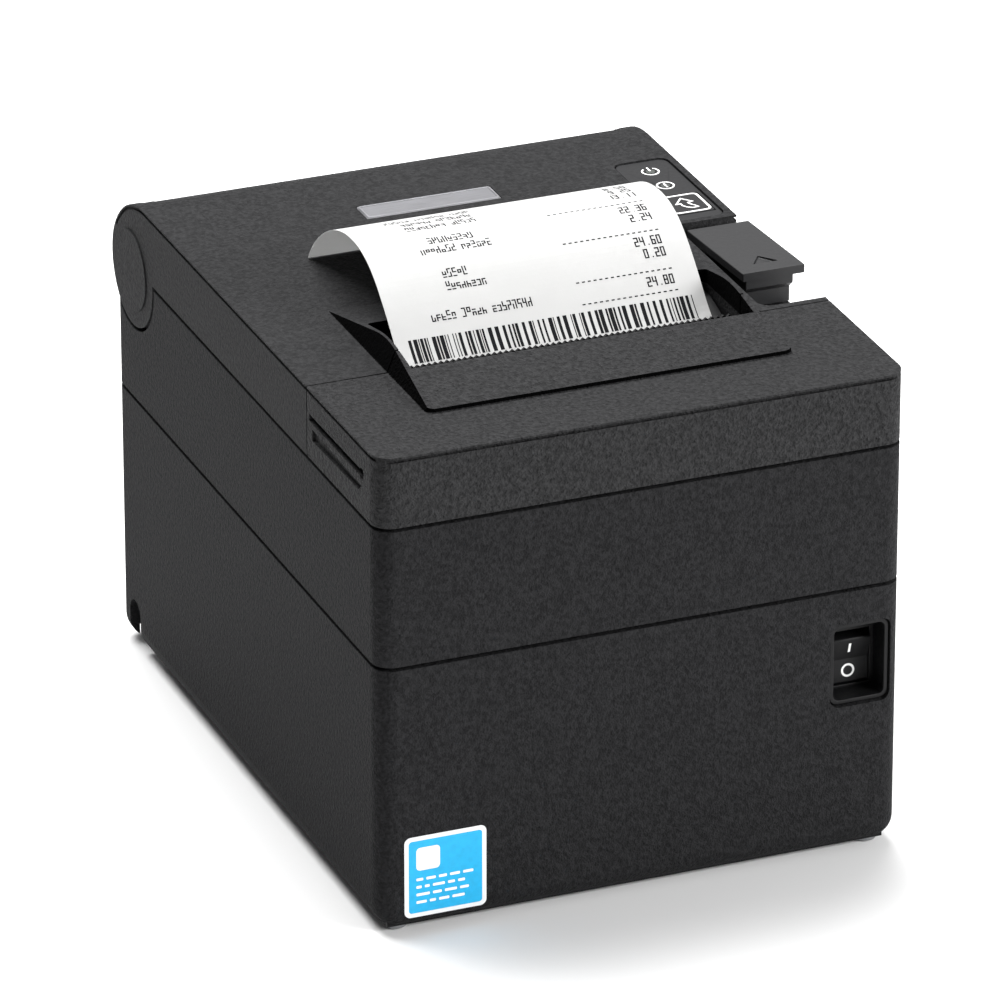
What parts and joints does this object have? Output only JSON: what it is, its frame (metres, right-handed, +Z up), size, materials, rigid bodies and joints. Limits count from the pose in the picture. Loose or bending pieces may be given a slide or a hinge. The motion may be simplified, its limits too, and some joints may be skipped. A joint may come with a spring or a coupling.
{
  "type": "receipt printer",
  "caption": "Black thermal receipt printer with a rear-hinged lid, release lever, feed button, power rocker, cutter and a curled receipt leaving its top exit.",
  "frame": {"origin": "on the desk, under the middle of the case's footprint", "axes": "+X towards the printer's right side (the lever's side), +Y towards its rear, +Z up"},
  "size_m": [0.1361, 0.182, 0.1415],
  "materials": {
    "case_plastic": "fine grained",
    "lid_plastic": "fine grained",
    "inner_plastic": "satin",
    "lever_plastic": "satin",
    "panel_film": "satin",
    "light_pipe": "frosted",
    "label_stock": "coated",
    "steel": "satin",
    "blade_steel": "ground",
    "socket_steel": "plated",
    "aluminium": "satin",
    "head_ceramic": "glazed",
    "soft_rubber": "matte",
    "gear_plastic": "satin",
    "brass": "turned",
    "circuit_board": "lacquered",
    "chip_plastic": "moulded",
    "thermal_paper": "smooth",
    "core_card": "plain"
  },
  "bodies": {
    "case": {"base_case": "case_plastic", "middle_case": "case_plastic", "front_cover": "lid_plastic", "bottom_plate": "inner_plastic", "rubber_feet": "soft_rubber", "bottom_screws": "steel", "switch_bezel": "inner_plastic", "power_switch": "inner_plastic", "front_label": "label_stock", "main_board": "circuit_board", "board_chips": "chip_plastic", "rear_panel": "steel", "dc_inlet": "chip_plastic", "usb_socket": "socket_steel", "lan_socket": "socket_steel", "drawer_socket": "chip_plastic", "mechanism_frame": "steel", "frame_standoffs": "steel", "mechanism_screws": "steel", "thermal_head": "head_ceramic", "heat_sink": "aluminium", "head_springs": "steel", "cutter_unit": "inner_plastic", "cutter_motor": "socket_steel", "feed_motor": "socket_steel", "idler_axle": "steel", "latch_pins": "steel", "hinge_pins": "steel", "paper_bucket": "inner_plastic", "paper_web": "thermal_paper"},
    "lid": {"lid_shell": "lid_plastic", "lid_liner": "inner_plastic", "platen_bushes": "gear_plastic", "platen_bracket": "steel", "fixed_blade": "blade_steel", "lever_pin": "steel", "lever_spring": "steel", "button_panel": "panel_film", "button_spring": "steel", "panel_board": "circuit_board", "light_pipes": "light_pipe", "nameplate": "aluminium", "receipt": "thermal_paper"},
    "latch": {"latch_shaft": "steel", "latch_hooks": "steel"},
    "lever": {"open_lever": "lever_plastic"},
    "button": {"feed_button": "panel_film"},
    "rocker": {"power_rocker": "inner_plastic"},
    "platen": {"platen_shaft": "steel", "platen_roller": "soft_rubber", "platen_gear": "gear_plastic"},
    "idler": {"idler_gear": "gear_plastic"},
    "pinion": {"motor_pinion": "brass"},
    "blade": {"cutter_blade": "blade_steel"},
    "roll": {"paper_roll": "thermal_paper", "roll_core": "core_card"}
  },
  "joints": [
    {"name": "lid_hinge", "type": "hinge", "parent": "case", "child": "lid", "pos_m": [0, 0.0768, 0.1052], "axis": [-1, 0, 0], "range_deg": [0, 82]},
    {"name": "lever_pull", "type": "hinge", "parent": "lid", "child": "lever", "pos_m": [0.0583, 0.003, 0.1186], "axis": [-1, 0, 0], "range_deg": [0, 24], "stiffness_Nm_per_rad": 0.06, "springref_deg": -5.73},
    {"name": "latch_turn", "type": "hinge", "parent": "lid", "child": "latch", "pos_m": [0, -0.018, 0.109], "axis": [1, 0, 0], "range_deg": [0, 12.5], "stiffness_Nm_per_rad": 0.03, "springref_deg": -5.73},
    {"name": "feed_press", "type": "slide", "parent": "lid", "child": "button", "axis": [0, 0, -1], "range_m": [0, 0.0012], "stiffness_N_per_m": 250, "springref_m": -0.0006, "deforming": ["button_spring"]},
    {"name": "power_rock", "type": "hinge", "parent": "case", "child": "rocker", "pos_m": [0.0562, -0.08, 0.0486], "axis": [-1, 0, 0], "range_deg": [0, 14]},
    {"name": "platen_spin", "type": "hinge", "parent": "lid", "child": "platen", "pos_m": [0, -0.03275, 0.1062], "axis": [1, 0, 0], "continuous": true},
    {"name": "idler_spin", "type": "hinge", "parent": "case", "child": "idler", "pos_m": [-0.058, -0.03275, 0.0882], "axis": [1, 0, 0], "continuous": true},
    {"name": "pinion_spin", "type": "hinge", "parent": "case", "child": "pinion", "pos_m": [-0.058, -0.04501, 0.07791], "axis": [1, 0, 0], "continuous": true},
    {"name": "blade_slide", "type": "slide", "parent": "case", "child": "blade", "axis": [0, 1, 0], "range_m": [0, 0.0045]},
    {"name": "roll_spin", "type": "hinge", "parent": "case", "child": "roll", "pos_m": [0, 0.022, 0.0563], "axis": [1, 0, 0], "continuous": true}
  ],
  "couplings": [
    {"joint": "latch_turn", "follows": "lever_pull", "ratio": 0.5},
    {"joint": "idler_spin", "follows": "platen_spin", "ratio": -0.63636},
    {"joint": "pinion_spin", "follows": "platen_spin", "ratio": 1.4}
  ]
}
